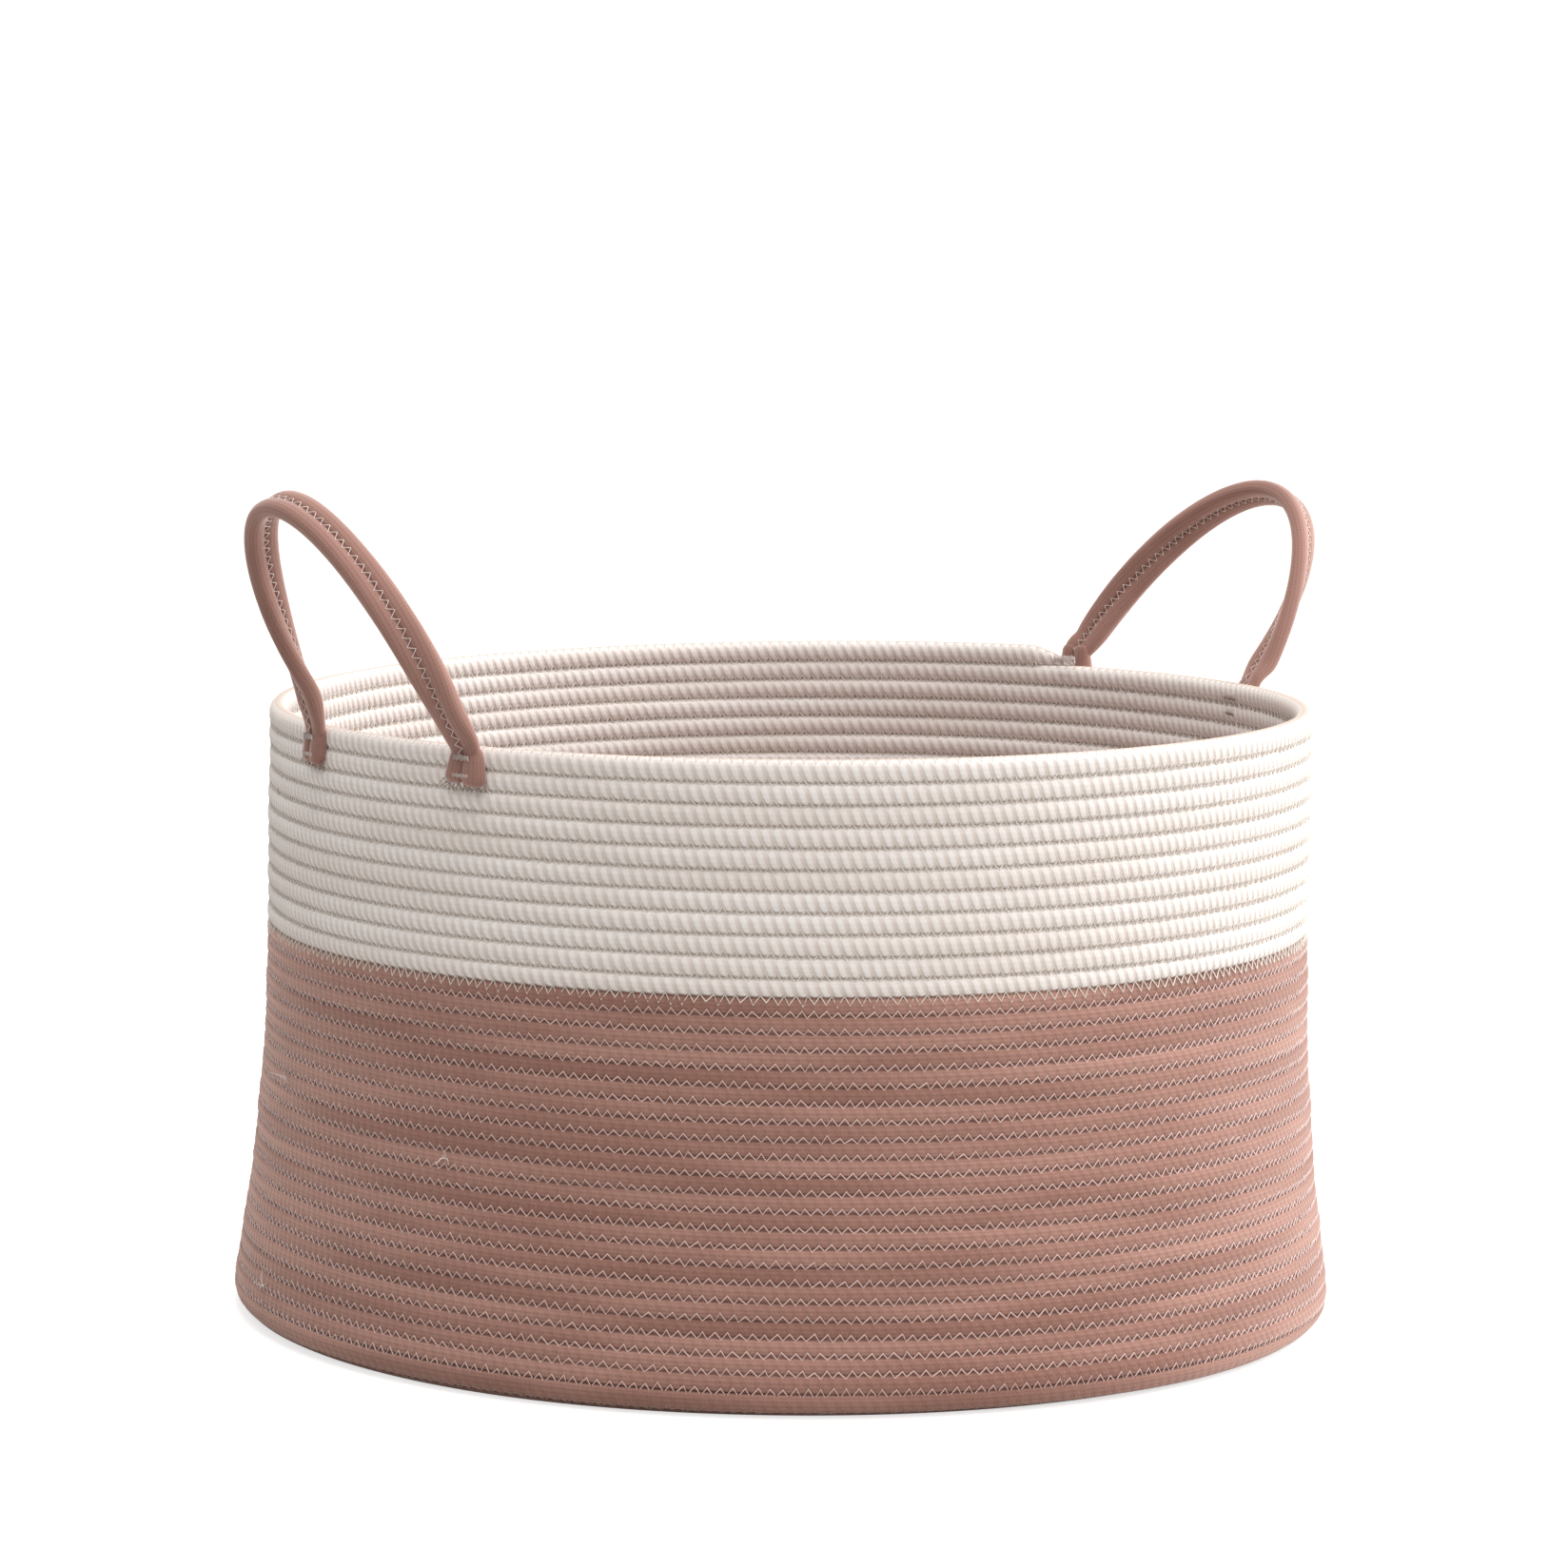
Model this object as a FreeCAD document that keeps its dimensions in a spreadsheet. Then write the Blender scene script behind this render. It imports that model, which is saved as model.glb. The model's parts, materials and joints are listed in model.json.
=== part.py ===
# A round storage basket coiled from cotton rope: a rose rope makes the floor and the lower wall, a
# thicker cream rope the upper wall. Rows of zigzag stitching hold each turn to the next. Two strap
# handles, each of two ropes sewn side by side, stand up from sewn feet on the outside of the rim.
#
# Frame: +Z up, the floor is z = 0, the origin is the middle of the underside. The handles are at
# -X (left) and +X (right), and -Y is the front. Lengths are in millimetres, angles in degrees.

import FreeCAD, Part
import math
import os
from FreeCAD import Placement, Rotation, Vector

doc = FreeCAD.newDocument("rope_basket")

# ---------------------------------------------------------------- driving dimensions

SIZES = {
    # shell, outside
    "base_radius": 263.0,  # widest, just above the floor
    "two_tone_height": 186.0,  # where the rose rope ends and the cream rope starts
    "wall_height": 290.0,
    "waist_half_width": 242.0,  # at the colour change, in line with the handles
    "waist_half_length": 257.5,  # at the colour change, across the handles
    "mouth_half_width": 238.0,
    "mouth_half_length": 262.0,
    "corner_round": 9.0,
    "rim_round": 4.0,
    # ropes and their turns
    "rose_rope": 8.0,
    "cream_rope": 9.5,
    "floor_rope": 8.0,
    "floor_turns": 31,
    "rose_turns": 24,
    "cream_turns": 11,
    # stitching
    "stitch_width": 5.2,
    "stitch_proud": 0.5,
    "stitch_gap": 0.15,
    # handle straps
    "strap_rope": 8.0,
    "strap_gap": 0.2,
    "hinge_rise": 6.0,  # the bend at the foot of a loop, above the rim
    "hinge_clear": 6.3,  # from the bend down to the top of the sewn foot
    "wall_clear": 0.3,  # between a loop and the wall
    "strap_stitch": 1.6,  # diameter of the stitching laid in the groove of a strap
    "strap_stitch_lift": 3.0,  # from the middle of the strap
    "left_foot_spacing": 112.0,
    "left_foot_shift": -5.5,
    "left_loop_rise": 95.0,
    "left_loop_lean": 38.0,
    "left_loop_drift": 25.0,
    "right_foot_spacing": 131.0,
    "right_foot_shift": -7.0,
    "right_loop_rise": 85.0,
    "right_loop_lean": 50.0,
    "right_loop_drift": -18.0,
    # sewn feet
    "foot_drop": 18.0,  # from the rim down to the end of a foot
    "foot_thick": 7.5,
    "foot_sink": 4.0,  # how far the blank reaches into the wall before it is trimmed to it
    "foot_round": 2.5,
    "tack_width": 9.0,
    "tack_tall": 1.4,
    "tack_proud": 0.6,
    "tack_low": 4.5,
    "tack_high": 12.5,
}

sheet = doc.addObject("Spreadsheet::Sheet", "Sizes")
for row, (alias, value) in enumerate(SIZES.items(), start=1):
    sheet.set(f"A{row}", alias)
    sheet.set(f"B{row}", str(value))
    sheet.setAlias(f"B{row}", alias)
doc.recompute()


def size(alias):
    """The value of one cell of the sheet."""
    return float(sheet.get(alias))


# ---------------------------------------------------------------- helpers

SIDES = {"left": -1, "right": 1}  # the sign of X
ENDS = {"front": -1, "back": 1}  # the sign of Y
nodes = []


def node(feature, name):
    """Names a finished sub-part. Its label is the name of its file."""
    feature.Label = name
    nodes.append(feature)
    return feature


def add(kind, name, **bound):
    """A document object whose properties are bound to expressions over the sheet."""
    feature = doc.addObject(kind, name)
    for prop, expression in bound.items():
        feature.setExpression(prop.replace("__", "."), expression)
    return feature


def oval(name, height, half_width, half_length):
    """A level oval wire: a circle stretched along Y. The three sizes are expressions."""
    circle = add("Part::Circle", name + "_circle", Radius=half_width)
    wire = add("Part::Scale", name, YScale=f"({half_length}) / ({half_width})")
    wire.Base = circle
    wire.Uniform = False
    wire.setExpression("Placement.Base.z", height)
    return wire


def loft(name, sections):
    """A solid through level ovals, straight between one and the next."""
    feature = doc.addObject("Part::Loft", name)
    feature.Sections = sections
    feature.Solid = True
    feature.Ruled = True
    return feature


def cut(name, base, tool):
    feature = doc.addObject("Part::Cut", name)
    feature.Base = base
    feature.Tool = tool
    return feature


def common(name, base, tool):
    feature = doc.addObject("Part::Common", name)
    feature.Base = base
    feature.Tool = tool
    return feature


def group(name, members):
    """Separate solids that share one node."""
    feature = doc.addObject("Part::Compound", name)
    feature.Links = members
    return feature


def round_edges(name, base, radius, chosen):
    """Rounds the edges of base for which chosen(edge) is true."""
    doc.recompute()
    feature = doc.addObject("Part::Fillet", name)
    feature.Base = base
    edges = enumerate(base.Shape.Edges, start=1)
    feature.Edges = [(i, radius, radius) for i, edge in edges if chosen(edge)]
    return feature


NEAR = 0.01  # two heights or distances closer than this are the same


def lies_at(edge, height):
    """True if the whole edge is level, at that height."""
    middle = edge.valueAt((edge.FirstParameter + edge.LastParameter) / 2)
    points = [middle, *(vertex.Point for vertex in edge.Vertexes)]
    return all(abs(point.z - height) < NEAR for point in points)


# ---------------------------------------------------------------- the shell's outline

FLARE_STEPS = 6  # sections of the lower wall, from the floor to the colour change


def lower_sections(name, grow, first=0.0):
    """Ovals up the rose wall, which flares towards the floor. grow is an expression that is added
    to the outside outline. first is the height of the lowest section, as an expression or 0."""
    sections = []
    for step in range(FLARE_STEPS + 1):
        share = step / FLARE_STEPS
        height = f"({first}) + (Sizes.two_tone_height - ({first})) * {share:.6f}"
        still = f"(1 - ({height}) / Sizes.two_tone_height)"
        flare = f"{still} * {still}"
        wide = f"Sizes.waist_half_width + (Sizes.base_radius - Sizes.waist_half_width) * {flare}"
        long = f"Sizes.waist_half_length + (Sizes.base_radius - Sizes.waist_half_length) * {flare}"
        grown = (f"{wide} + ({grow})", f"{long} + ({grow})")
        sections.append(oval(f"{name}_{step}", height, *grown))
    return sections


def upper_sections(name, grow):
    """The two ovals of the straight cream wall."""
    waist = (f"Sizes.waist_half_width + ({grow})", f"Sizes.waist_half_length + ({grow})")
    mouth = (f"Sizes.mouth_half_width + ({grow})", f"Sizes.mouth_half_length + ({grow})")
    return [
        oval(name + "_waist", "Sizes.two_tone_height", *waist),
        oval(name + "_mouth", "Sizes.wall_height", *mouth),
    ]


def stitch_rows(name, pitch, lowest, rows):
    """A stack of level slabs, one over each groove between two turns."""
    slabs = []
    for row in range(rows):
        middle = f"({lowest}) + ({pitch}) * {row}"
        slab = add(
            "Part::Cylinder",
            f"{name}_{row}",
            Radius="2 * Sizes.base_radius",
            Height="Sizes.stitch_width",
            Placement__Base__z=f"{middle} - Sizes.stitch_width / 2",
        )
        slabs.append(slab)
    return group(name, slabs)


# ---------------------------------------------------------------- floor


def make_floor():
    """The flat coil, and its stitching: narrow rings that stand on its upper face."""
    disc = add(
        "Part::Cylinder",
        "floor_disc",
        Radius="Sizes.base_radius - Sizes.corner_round - Sizes.rose_rope / 2",
        Height="Sizes.floor_rope",
    )
    node(disc, "rose_floor_coil")
    pitch = "(Sizes.base_radius - Sizes.corner_round - Sizes.rose_rope / 2) / Sizes.floor_turns"
    circles = []
    for row in range(1, int(size("floor_turns"))):
        for side in (-1, 1):
            radius = f"{pitch} * {row} + Sizes.stitch_width / 2 * {side}"
            circle = add("Part::Circle", f"floor_stitch_{row}_{side + 1}", Radius=radius)
            circles.append(circle)
    outline = group("floor_stitch_outline", circles)
    rings = add("Part::Extrusion", "floor_stitch_rings", LengthFwd="Sizes.stitch_proud")
    rings.Base = outline
    rings.DirMode = "Custom"
    rings.Dir = Vector(0, 0, 1)
    rings.Solid = True
    rings.FaceMakerClass = "Part::FaceMakerBullseye"
    rings.setExpression("Placement.Base.z", "Sizes.floor_rope")
    node(rings, "floor_stitching")
    return disc


# ---------------------------------------------------------------- walls


def make_rose_wall(disc):
    blank = loft("rose_blank", lower_sections("rose_outside", "0"))
    rounded = round_edges(
        "rose_rounded", blank, size("corner_round"), lambda edge: lies_at(edge, 0.0)
    )
    hollow = loft("rose_hollow", lower_sections("rose_inside", "-Sizes.rose_rope", "Sizes.floor_rope"))
    shell = cut("rose_shell", rounded, hollow)
    node(cut("rose_wall", shell, disc), "rose_wall_coil")


def make_cream_wall():
    """The straight upper wall with its rounded rim."""
    blank = loft("cream_blank", upper_sections("cream_outside", "0"))
    hollow = loft("cream_hollow", upper_sections("cream_inside", "-Sizes.cream_rope"))
    shell = cut("cream_shell", blank, hollow)
    wall = round_edges(
        "cream_wall", shell, size("rim_round"), lambda edge: lies_at(edge, size("wall_height"))
    )
    return node(wall, "cream_wall_coil")


def make_wall_stitching():
    """Bands over the grooves, a little clear of the wall. Rows that would fall on the rounded
    bottom corner, or over the rim, are left out. Returns the solid inside the cream bands' faces."""
    inner = "Sizes.stitch_gap"
    outer = "Sizes.stitch_gap + Sizes.stitch_proud"
    plans = {
        "rose": (lower_sections, "Sizes.two_tone_height / Sizes.rose_turns"),
        "cream": (
            upper_sections,
            "(Sizes.wall_height - Sizes.two_tone_height) / Sizes.cream_turns",
        ),
    }
    rose_pitch = size("two_tone_height") / size("rose_turns")
    on_corner = math.ceil((size("corner_round") + size("stitch_width") / 2) / rose_pitch)
    for colour, (sections, pitch) in plans.items():
        outside = loft(f"{colour}_band_outside", sections(f"{colour}_band_out", outer))
        inside = loft(f"{colour}_band_inside", sections(f"{colour}_band_in", inner))
        skin = cut(f"{colour}_skin", outside, inside)
        if colour == "rose":
            lowest = f"{pitch} * {on_corner}"
            rows = int(size("rose_turns")) - on_corner
        else:
            lowest = f"Sizes.two_tone_height + {pitch}"
            rows = int(size("cream_turns")) - 1
        slabs = stitch_rows(f"{colour}_slabs", pitch, lowest, rows)
        node(common(f"{colour}_rows", skin, slabs), f"{colour}_stitching")
    return outside


# ---------------------------------------------------------------- handle places


def wall_point(side, y, height):
    """The point of the cream wall's outside at that y, and the direction that it faces, in degrees."""
    share = (height - size("two_tone_height")) / (size("wall_height") - size("two_tone_height"))
    wide = size("waist_half_width") + share * (size("mouth_half_width") - size("waist_half_width"))
    long = size("waist_half_length") + share * (size("mouth_half_length") - size("waist_half_length"))
    x = wide * math.sqrt(1 - (y / long) ** 2)
    facing = math.degrees(math.atan2(y / long**2, SIDES[side] * x / wide**2))
    return Vector(SIDES[side] * x, y, height), facing


def foot_y(side, end):
    """Where a foot's middle is, along Y."""
    return size(f"{side}_foot_shift") + ENDS[end] * size(f"{side}_foot_spacing") / 2


def hinge_height():
    return size("wall_height") + size("hinge_rise")


def hinge_x(side):
    """The bend of a loop runs straight along Y, clear of the wall at both feet."""
    reach = max(abs(wall_point(side, foot_y(side, end), size("wall_height"))[0].x) for end in ENDS)
    return reach + size("wall_clear") + size("strap_rope") / 2


# ---------------------------------------------------------------- sewn feet


def make_foot(side, end, trim):
    """The flattened end of a strap, trimmed to the curve of the stitched wall behind it. Returns
    the point of the wall under it, and the way it is turned."""
    name = f"{side}_{end}_foot"
    low = size("wall_height") - size("foot_drop")
    point, facing = wall_point(side, foot_y(side, end), low)
    turn = Rotation(Vector(0, 0, 1), facing)
    blank = add(
        "Part::Box",
        name + "_blank",
        Length="Sizes.foot_sink + Sizes.foot_thick",
        Width="2 * Sizes.strap_rope + Sizes.strap_gap",
        Height="Sizes.foot_drop + Sizes.hinge_rise - Sizes.hinge_clear",
    )
    corner = Vector(-size("foot_sink"), -size("strap_rope") - size("strap_gap") / 2, 0)
    blank.Placement = Placement(point + turn.multVec(corner), turn)
    out = turn.multVec(Vector(1, 0, 0))

    def on_face(edge):
        """The edges round the outer face."""
        return all((v.Point - point).dot(out) > size("foot_thick") - 0.01 for v in edge.Vertexes)

    soft = round_edges(name + "_soft", blank, size("foot_round"), on_face)
    node(cut(name, soft, trim), name)
    return point, turn


def make_tacks(side, feet, wall):
    """Short bars of thread: across the outer face of each foot, and on the inside of the wall."""
    bars = []
    for end, (point, turn) in feet.items():
        for level in ("low", "high"):
            for face in ("outer", "inner"):
                name = f"{side}_{end}_{level}_{face}_tack"
                bar = add(
                    "Part::Box",
                    name,
                    Width="Sizes.tack_width",
                    Height="Sizes.tack_tall",
                    Length="Sizes.tack_proud",
                )
                start = size("foot_thick")
                if face == "inner":
                    bar.setExpression("Length", "Sizes.cream_rope / 2 + Sizes.tack_proud")
                    start = -size("cream_rope") - size("tack_proud")
                corner = Vector(start, -size("tack_width") / 2, size(f"tack_{level}"))
                bar.Placement = Placement(point + turn.multVec(corner), turn)
                bars.append(bar if face == "outer" else cut(name + "_trimmed", bar, wall))
    node(group(f"{side}_tacks", bars), f"{side}_foot_tacks")


# ---------------------------------------------------------------- handle loops

LOOP_POINTS = 17
TWIST_SHARPNESS = 0.9
QUARTER_TURN = math.radians(90)
BARE_END = 0.04  # share of the loop that has no zigzag, at each foot


def loop_point(side, angle):
    """The middle line of a strap. angle goes from 0 at the front foot to pi at the back foot."""
    up, along = math.sin(angle), math.cos(angle)
    lean, drift, rise = (size(f"{side}_loop_{word}") for word in ("lean", "drift", "rise"))
    return Vector(
        SIDES[side] * (hinge_x(side) + lean * up),
        size(f"{side}_foot_shift") - size(f"{side}_foot_spacing") / 2 * along + drift * up,
        hinge_height() + rise * up,
    )


def loop_frame(side, angle):
    """The directions along the strap, out of its outer face, and across it towards the wall's
    inside. The strap lies flat to the wall at its feet and turns its face up over the loop."""
    small = 1e-4
    along = (loop_point(side, angle + small) - loop_point(side, angle - small)).normalize()
    lean, rise = size(f"{side}_loop_lean"), size(f"{side}_loop_rise")
    outward = Vector(SIDES[side] * rise, 0, -lean).normalize()
    away = outward.cross(along) * SIDES[side]
    twist = QUARTER_TURN * (1 - math.sin(angle)) ** TWIST_SHARPNESS
    face = away * math.cos(twist) + outward * math.sin(twist)
    face = (face - along * face.dot(along)).normalize()
    across = along.cross(face) * -SIDES[side]
    return along, face, across


def loop_tube(name, side, diameter, across_by, face_by, first=0.0):
    """A tube that follows the strap, offset across it and out of its face. first leaves that
    share of the loop bare at each foot."""
    points = []
    for i in range(LOOP_POINTS):
        angle = math.pi * (first + (1 - 2 * first) * i / (LOOP_POINTS - 1))
        _, face, across = loop_frame(side, angle)
        points.append(loop_point(side, angle) + across * across_by + face * face_by)
    curve = Part.BSplineCurve()
    curve.interpolate(points)
    path = doc.addObject("Part::Feature", name + "_path")
    path.Shape = Part.Wire([curve.toShape()])
    section = add("Part::Circle", name + "_section", Radius=f"{diameter} / 2")
    start = curve.tangent(curve.FirstParameter)[0]
    section.Placement = Placement(points[0], Rotation(Vector(0, 0, 1), start))
    tube = doc.addObject("Part::Sweep", name + "_tube")
    tube.Sections = [section]
    tube.Spine = (path, ["Edge1"])
    tube.Solid = True
    caps = []
    for place, point in {"front": points[0], "back": points[-1]}.items():
        cap = add("Part::Sphere", f"{name}_{place}_cap", Radius=f"{diameter} / 2")
        cap.Placement.Base = point
        caps.append(cap)
    whole = doc.addObject("Part::MultiFuse", name)
    whole.Shapes = [tube, *caps]
    return whole


def make_loop(side):
    half = (size("strap_rope") + size("strap_gap")) / 2
    inner = loop_tube(f"{side}_inner", side, "Sizes.strap_rope", half, 0)
    node(inner, f"{side}_handle_inner_rope")
    outer = loop_tube(f"{side}_outer", side, "Sizes.strap_rope", -half, 0)
    node(outer, f"{side}_handle_outer_rope")
    lift = size("strap_stitch_lift")
    rows = [
        loop_tube(f"{side}_stitch_{face}", side, "Sizes.strap_stitch", 0, sign * lift, BARE_END)
        for face, sign in {"top": 1, "under": -1}.items()
    ]
    node(group(f"{side}_strap_stitching", rows), f"{side}_handle_stitching")


# ---------------------------------------------------------------- the whole basket

disc = make_floor()
make_rose_wall(disc)
wall = make_cream_wall()
stitched_blank = make_wall_stitching()
for side in SIDES:
    feet = {}
    for end in ENDS:
        feet[end] = make_foot(side, end, stitched_blank)
    make_tacks(side, feet, wall)
    make_loop(side)
doc.recompute()

for feature in doc.Objects:
    if "Invalid" in feature.State or "Error" in feature.State:
        raise RuntimeError(f"{feature.Name} failed: {feature.State}")
for feature in nodes:
    shape = feature.Shape
    if shape.isNull() or not shape.isValid() or not shape.Solids:
        raise RuntimeError(f"{feature.Label} has no valid solid")

os.makedirs("parts", exist_ok=True)
for feature in nodes:
    feature.Shape.exportStep(f"parts/{feature.Label}.step")
    volume = feature.Shape.Volume / 1000
    print(f"{feature.Label}: {len(feature.Shape.Solids)} solid(s), {volume:.2f} cm3")
for side in SIDES:
    print(f"{side} hinge at x = {SIDES[side] * hinge_x(side):.2f}, z = {hinge_height():.2f}")
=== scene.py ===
# %% [markdown]
# # A coiled rope laundry basket
# The basket is one soft cotton rope wound in a rising spiral, floor first and then the wall, with each turn
# sewn to the turn before by a zigzag stitch. A modeller could fake it with a smooth shell and a striped bump.
# Here the rope, the thread and the two strap handles are real geometry, built around the frame that holds
# the object's sizes and its joints, so that the grooves and the stitches stay true from every side.

# %% Load the frame
import json
import math

import bpy
import numpy as np
from mathutils import Matrix, Vector


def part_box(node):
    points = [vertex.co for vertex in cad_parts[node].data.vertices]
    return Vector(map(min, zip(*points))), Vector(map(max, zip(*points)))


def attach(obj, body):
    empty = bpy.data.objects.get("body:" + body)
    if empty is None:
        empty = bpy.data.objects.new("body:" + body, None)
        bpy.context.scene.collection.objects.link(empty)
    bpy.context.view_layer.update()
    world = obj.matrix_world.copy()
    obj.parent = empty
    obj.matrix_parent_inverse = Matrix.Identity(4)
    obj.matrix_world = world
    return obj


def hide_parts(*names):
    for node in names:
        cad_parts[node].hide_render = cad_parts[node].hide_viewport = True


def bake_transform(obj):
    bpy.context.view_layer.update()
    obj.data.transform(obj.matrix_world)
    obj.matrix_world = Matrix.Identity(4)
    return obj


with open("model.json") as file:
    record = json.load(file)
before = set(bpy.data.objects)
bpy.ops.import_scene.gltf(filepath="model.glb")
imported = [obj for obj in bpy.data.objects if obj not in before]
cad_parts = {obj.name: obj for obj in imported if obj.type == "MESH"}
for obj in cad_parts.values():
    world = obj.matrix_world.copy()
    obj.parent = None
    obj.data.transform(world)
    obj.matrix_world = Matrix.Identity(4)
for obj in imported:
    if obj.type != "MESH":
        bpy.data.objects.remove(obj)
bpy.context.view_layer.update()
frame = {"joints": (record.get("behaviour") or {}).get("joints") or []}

# %% [markdown]
# ## Sizes
# Everything is in metres. The overall sizes are read from the frame's own boxes, so the spiral follows the
# frame if it changes. What the frame leaves out, such as the place where the real spiral ends, is named here.

# %% Sizes of the wall
floor_low, floor_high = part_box("rose_floor_coil")
_, rose_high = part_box("rose_wall_coil")
_, cream_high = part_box("cream_wall_coil")
ROPE = floor_high.z - floor_low.z
CORNER = ROPE * 0.9  # radius of the rope's centre line where the floor turns up into the wall
ROSE_TOP = rose_high.z
RIM = cream_high.z
FOOT_SPREAD = 0.0016  # how far the round foot stands out past the frame's wall, in line with the handles
WAIST_HALF_LENGTH = 0.2575  # at the colour change, across the handles
MOUTH_HALF_WIDTH = 0.238  # at the rim, in line with the handles
BASE = rose_high.x + FOOT_SPREAD - ROPE / 2
WAIST_X, WAIST_Y = cream_high.x - ROPE / 2, WAIST_HALF_LENGTH - ROPE / 2
MOUTH_X, MOUTH_Y = MOUTH_HALF_WIDTH - ROPE / 2, cream_high.y - ROPE / 2
FLOOR_FLAT = BASE - CORNER
FLOOR_TURNS, ROSE_TURNS, CREAM_TURNS = 31, 24, 11
FLOOR_SPAN = FLOOR_TURNS * ROPE
STEP_ANGLE = math.radians(12.5)  # where the spiral ends, and steps down by one rope
TILT = 0.0063  # how much higher the hand-made rim is on one side
TILT_ANGLE = math.radians(-38.5)
print(f"rope {ROPE * 1000:.1f} mm, rim at {RIM * 1000:.0f} mm")

# %% [markdown]
# ## The path of the rope
# A coiled basket is a profile (floor, corner, wall) swept round an axis while it climbs one rope width per
# turn. Two numbers place any point: the length climbed along that profile, and the angle. The functions
# below turn these into a point and into two directions, across the rope and out of the wall. They work on
# whole arrays at once, because the wall alone needs thousands of rings.


# %% The swept profile
def climb_at_height(height):
    """Length along the profile from the floor's middle to a height on the wall."""
    return FLOOR_FLAT + CORNER * math.pi / 2 + height - ROPE / 2 - CORNER


def profile_point(climb, angle):
    flat = np.minimum(climb, FLOOR_FLAT)
    turn = np.clip((climb - FLOOR_FLAT) / CORNER, 0, math.pi / 2)
    wall = np.maximum(climb - FLOOR_FLAT - CORNER * math.pi / 2, 0)
    height = ROPE / 2 + CORNER * (1 - np.cos(turn)) + wall
    foot = ROPE / 2 + CORNER
    swell = np.clip((ROSE_TOP - height) / (ROSE_TOP - foot), 0, 1) ** 2
    flare = np.clip((height - ROSE_TOP) / (RIM - ROSE_TOP), 0, 1.05)
    reach = flat + CORNER * np.sin(turn)
    half_x = reach + (WAIST_X - BASE) * (1 - swell) + (MOUTH_X - WAIST_X) * flare
    half_y = reach + (WAIST_Y - BASE) * (1 - swell) + (MOUTH_Y - WAIST_Y) * flare
    share = height / RIM
    soft = 1 + share * (0.004 * np.sin(3 * angle + 0.6) + 0.002 * np.sin(5 * angle + 2 + 4 * share))
    climbed = np.clip((height - foot) / (RIM - foot), 0, 1.1) ** 0.8
    lift = TILT * np.cos(angle - TILT_ANGLE) * climbed
    return np.stack([half_x * soft * np.cos(angle), half_y * soft * np.sin(angle), height + lift], axis=-1)


def unit(vectors):
    return vectors / np.maximum(np.linalg.norm(vectors, axis=-1, keepdims=True), 1e-12)


def wall_place(climb, angle):
    """A point of the swept profile, the direction across the rope, and the direction out of the wall."""
    step = 0.0008
    point = profile_point(climb, angle)
    across = unit(profile_point(climb + step, angle) - profile_point(climb - step, angle))
    forward = unit(profile_point(climb, angle - step) - profile_point(climb, angle + step))
    out = unit(np.cross(across, forward))
    return point, across, out


# %% The spiral
ROSE_PITCH = (climb_at_height(ROSE_TOP) - FLOOR_SPAN) / ROSE_TURNS
ROSE_HALF = ROSE_PITCH / 2
CREAM_PITCH = (RIM - ROSE_TOP - ROSE_HALF) / (CREAM_TURNS - 0.5)
CREAM_HALF = CREAM_PITCH / 2
print(f"rose rope {ROSE_PITCH * 1000:.2f} mm a turn, cream rope {CREAM_PITCH * 1000:.2f} mm")


def spiral_angle(turns):
    return STEP_ANGLE - 2 * math.pi * turns


def rose_climb(turns):
    return FLOOR_SPAN + ROSE_PITCH * turns


def cream_climb(turns):
    """The cream rope starts end to end with the rose rope, then lies on it."""
    start = climb_at_height(ROSE_TOP)
    first = ROSE_HALF + CREAM_HALF
    return start + np.where(turns < 1, first * turns, first + CREAM_PITCH * (turns - 1))


def cream_half(turns):
    return np.where(turns < 1, ROSE_HALF + (CREAM_HALF - ROSE_HALF) * turns, CREAM_HALF)


# %% [markdown]
# ## Ropes as rings
# A rope is a row of rings. Each ring is a superellipse: an ellipse whose power is raised a little above 2,
# because a soft rope that is pressed between its neighbours gets flat cheeks. Bevelled curves could do this
# too, but rings built in code let the rope change its width, its thickness and its UV count as it goes.
# The UV map holds stitches along the rope and one unit around it, so every material can find the seams.


# %% A tube of rings
def tube(path, across, out, high, thick, sides, along, power=2.0):
    """Points, faces and UVs of a closed tube. High and thick are the half sizes across and out."""
    count = len(path)
    high, thick = np.broadcast_to(high, count), np.broadcast_to(thick, count)
    around = np.arange(sides) * 2 * math.pi / sides
    soft_cos = np.sign(np.cos(around)) * np.abs(np.cos(around)) ** (2 / power)
    soft_sin = np.sign(np.sin(around)) * np.abs(np.sin(around)) ** (2 / power)
    points = path[:, None] + across[:, None] * (high[:, None] * soft_cos)[..., None]
    points = points + out[:, None] * (thick[:, None] * soft_sin)[..., None]
    ring, side = np.meshgrid(np.arange(count - 1), np.arange(sides), indexing="ij")
    corners = [(ring, side), (ring + 1, side), (ring + 1, side + 1), (ring, side + 1)]
    faces = np.stack([r * sides + s % sides for r, s in corners], axis=-1).reshape(-1, 4)
    uvs = np.stack([np.stack([along[r], s / sides], axis=-1) for r, s in corners], axis=-2).reshape(-1, 4, 2)
    caps = [list(range(sides)), list(range((count - 1) * sides, count * sides))[::-1]]
    middle = count // 2
    ahead = path[min(middle + 1, count - 1)] - path[middle - 1]
    if np.dot(np.cross(out[middle], across[middle]), ahead) < 0:
        faces, uvs, caps = faces[:, ::-1], uvs[:, ::-1], [cap[::-1] for cap in caps]
    cap_uvs = [np.array([(end, s / sides) for s in range(sides)]) for end in (along[0], along[-1])]
    return points.reshape(-1, 3), faces.tolist() + caps, np.concatenate([uvs.reshape(-1, 2), *cap_uvs])


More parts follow.
